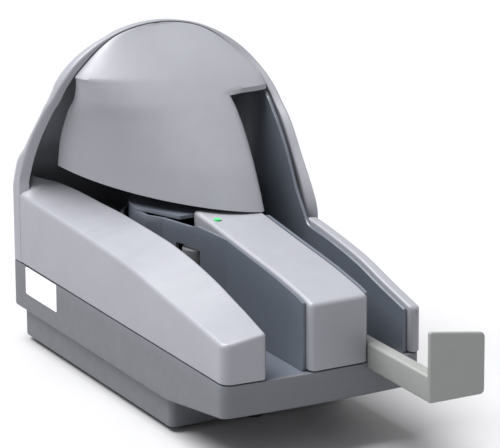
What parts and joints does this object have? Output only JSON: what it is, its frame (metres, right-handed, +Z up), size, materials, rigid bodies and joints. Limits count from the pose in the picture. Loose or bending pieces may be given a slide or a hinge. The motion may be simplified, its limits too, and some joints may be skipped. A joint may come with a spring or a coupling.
{
  "type": "desktop cheque scanner",
  "caption": "Desktop cheque scanner with a front hopper, a U-shaped paper track under a lift-off hood cover, a franking roller and a pull-out exit tray.",
  "frame": {"origin": "centre of the bounding box in plan, at the underside of the feet", "axes": "+Z up, +Y from the front (hopper and exit tray) to the back, +X from the hopper side to the exit tray side"},
  "size_m": [0.125, 0.344, 0.2058],
  "materials": {
    "silver_plastic": "fine satin moulded silver-grey",
    "base_plastic": "fine matt moulded blue-grey",
    "dark_plastic": "smooth dark slate moulding",
    "tray_plastic": "satin warm grey moulding",
    "foot_rubber": "matt black rubber",
    "roller_rubber": "ground grey rubber",
    "steel": "turned bright steel",
    "head_metal": "dull grey can",
    "ink_black": "black moulding",
    "board": "green solder resist",
    "label": "blank satin foil",
    "lens": "clear green lens"
  },
  "bodies": {
    "scanner": {"upper_housing": "silver_plastic", "island_cover": "silver_plastic", "base_pan": "base_plastic", "track_deck": "dark_plastic", "entry_guide": "dark_plastic", "exit_guide": "dark_plastic", "inner_guide": "dark_plastic", "track_cover": "dark_plastic", "cartridge_holder": "dark_plastic", "shaft_bush_entry": "dark_plastic", "shaft_bush_rear": "dark_plastic", "shaft_bush_exit": "dark_plastic", "shaft_bush_feed": "dark_plastic", "shaft_bush_franking": "dark_plastic", "foot_front_centre": "foot_rubber", "foot_front_left": "foot_rubber", "foot_front_right": "foot_rubber", "foot_rear_left": "foot_rubber", "foot_rear_right": "foot_rubber", "drive_belt": "foot_rubber", "pinch_pin_entry": "steel", "pinch_pin_rear": "steel", "pinch_pin_exit": "steel", "separator_pin": "steel", "pusher_pin": "steel", "usb_port": "steel", "deck_screw_1": "steel", "deck_screw_2": "steel", "deck_screw_3": "steel", "deck_screw_4": "steel", "magnetic_head": "head_metal", "drive_motor": "head_metal", "front_image_sensor": "ink_black", "rear_image_sensor": "ink_black", "ink_cartridge": "ink_black", "power_jack": "ink_black", "circuit_board": "board", "label_plate": "label", "status_lens": "lens"},
    "cover": {"access_cover": "silver_plastic"},
    "tray": {"exit_tray": "tray_plastic"},
    "pusher": {"hopper_pusher": "dark_plastic"},
    "motor_drive": {"motor_pulley": "steel"},
    "feed": {"feed_shaft": "steel", "feed_roller": "roller_rubber"},
    "separator": {"separator_roller": "roller_rubber"},
    "franking": {"franking_shaft": "steel", "franking_roller": "ink_black"},
    "drive_roller_entry": {"drive_shaft_entry": "steel", "drive_tyre_entry": "roller_rubber"},
    "pinch_entry_roller": {"pinch_roller_entry": "roller_rubber"},
    "drive_roller_rear": {"drive_shaft_rear": "steel", "drive_tyre_rear": "roller_rubber"},
    "pinch_rear_roller": {"pinch_roller_rear": "roller_rubber"},
    "drive_roller_exit": {"drive_shaft_exit": "steel", "drive_tyre_exit": "roller_rubber"},
    "pinch_exit_roller": {"pinch_roller_exit": "roller_rubber"}
  },
  "joints": [
    {"name": "cover_lift", "type": "slide", "parent": "scanner", "child": "cover", "axis": [0, -0.766, 0.6428], "range_m": [0, 0.06]},
    {"name": "tray_slide", "type": "slide", "parent": "scanner", "child": "tray", "axis": [0, 1, 0], "range_m": [0, 0.062]},
    {"name": "pusher_swing", "type": "hinge", "parent": "scanner", "child": "pusher", "pos_m": [-0.0435, -0.042, 0.063], "axis": [0, 0, -1], "range_deg": [0, 20]},
    {"name": "drive_entry", "type": "hinge", "parent": "scanner", "child": "drive_roller_entry", "pos_m": [-0.02455, 0.0633, 0.073], "axis": [0, 0, 1], "continuous": true},
    {"name": "drive_rear", "type": "hinge", "parent": "scanner", "child": "drive_roller_rear", "pos_m": [0.00069, 0.09619, 0.073], "axis": [0, 0, 1], "continuous": true},
    {"name": "drive_exit", "type": "hinge", "parent": "scanner", "child": "drive_roller_exit", "pos_m": [0.03956, 0.07929, 0.073], "axis": [0, 0, 1], "continuous": true},
    {"name": "motor_spin", "type": "hinge", "parent": "scanner", "child": "motor_drive", "pos_m": [0.0095, 0.0333, 0.073], "axis": [0, 0, 1], "continuous": true},
    {"name": "pinch_entry", "type": "hinge", "parent": "scanner", "child": "pinch_entry_roller", "pos_m": [-0.03885, 0.0633, 0.073], "axis": [0, 0, 1], "continuous": true},
    {"name": "pinch_rear", "type": "hinge", "parent": "scanner", "child": "pinch_rear_roller", "pos_m": [-0.00301, 0.11, 0.073], "axis": [0, 0, 1], "continuous": true},
    {"name": "pinch_exit", "type": "hinge", "parent": "scanner", "child": "pinch_exit_roller", "pos_m": [0.05219, 0.086, 0.073], "axis": [0, 0, 1], "continuous": true},
    {"name": "feed_spin", "type": "hinge", "parent": "scanner", "child": "feed", "pos_m": [-0.01235, 0.02162, 0.073], "axis": [0, 0, 1], "continuous": true},
    {"name": "separator_spin", "type": "hinge", "parent": "scanner", "child": "separator", "pos_m": [-0.0397, 0.0393, 0.073], "axis": [0, 0, 1], "continuous": true},
    {"name": "franking_spin", "type": "hinge", "parent": "scanner", "child": "franking", "pos_m": [0.02207, 0.09153, 0.073], "axis": [0, 0, 1], "continuous": true}
  ],
  "couplings": [
    {"joint": "drive_rear", "follows": "drive_entry", "ratio": 1},
    {"joint": "drive_exit", "follows": "drive_entry", "ratio": 1},
    {"joint": "motor_spin", "follows": "drive_entry", "ratio": 1},
    {"joint": "pinch_entry", "follows": "drive_entry", "ratio": -1.3333},
    {"joint": "pinch_rear", "follows": "drive_entry", "ratio": -1.3333},
    {"joint": "pinch_exit", "follows": "drive_entry", "ratio": -1.3333}
  ]
}
